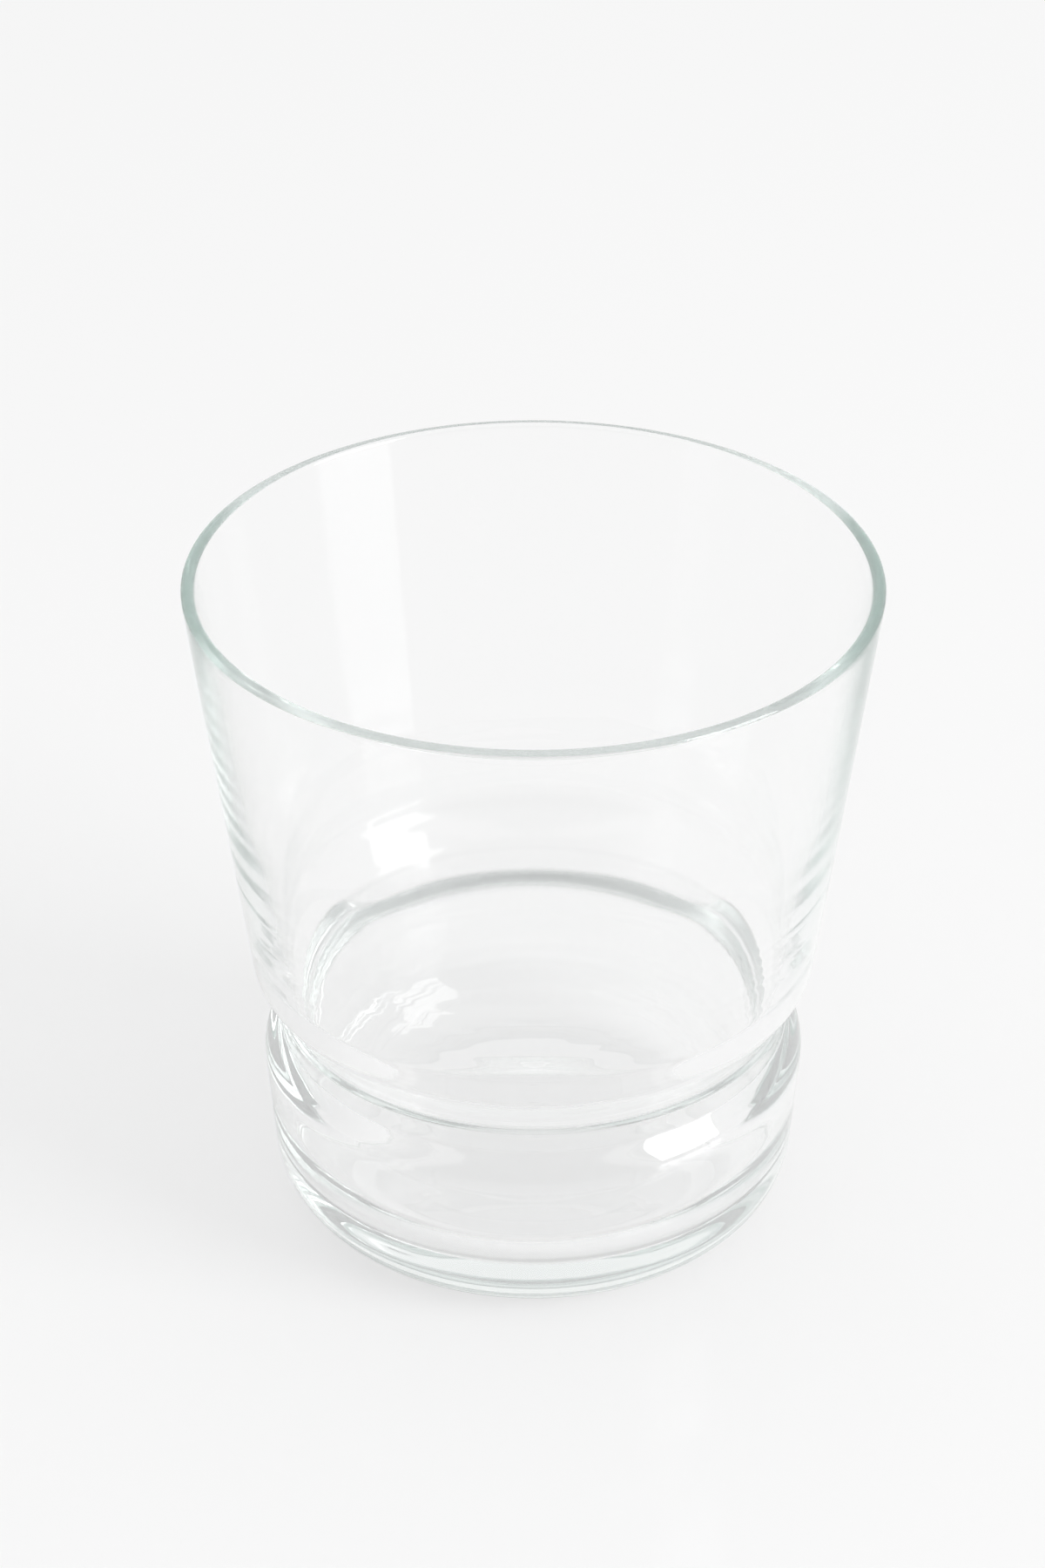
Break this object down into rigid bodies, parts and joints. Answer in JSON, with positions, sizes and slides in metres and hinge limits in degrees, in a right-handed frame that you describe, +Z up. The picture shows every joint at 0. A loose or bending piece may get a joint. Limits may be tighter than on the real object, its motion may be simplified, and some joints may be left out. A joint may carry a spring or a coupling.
{
  "type": "juice glass",
  "caption": "Flared tumbler of clear, faintly green glass with a soft shoulder, a crease above its barrel foot, a rounded heel and a fire-polished rim.",
  "frame": {"origin": "centre of the foot, on the plane that the glass stands on", "axes": "+Z up along the axis of the glass; X and Y are free, because the glass is round"},
  "size_m": [0.0778, 0.0778, 0.081],
  "materials": {
    "glass": "clear soda-lime glass with a faint green in its thick parts, fire-polished and smooth"
  },
  "bodies": {
    "root": {"rim": "glass", "bowl": "glass", "waist": "glass", "foot": "glass", "heel": "glass", "base": "glass"}
  },
  "joints": []
}
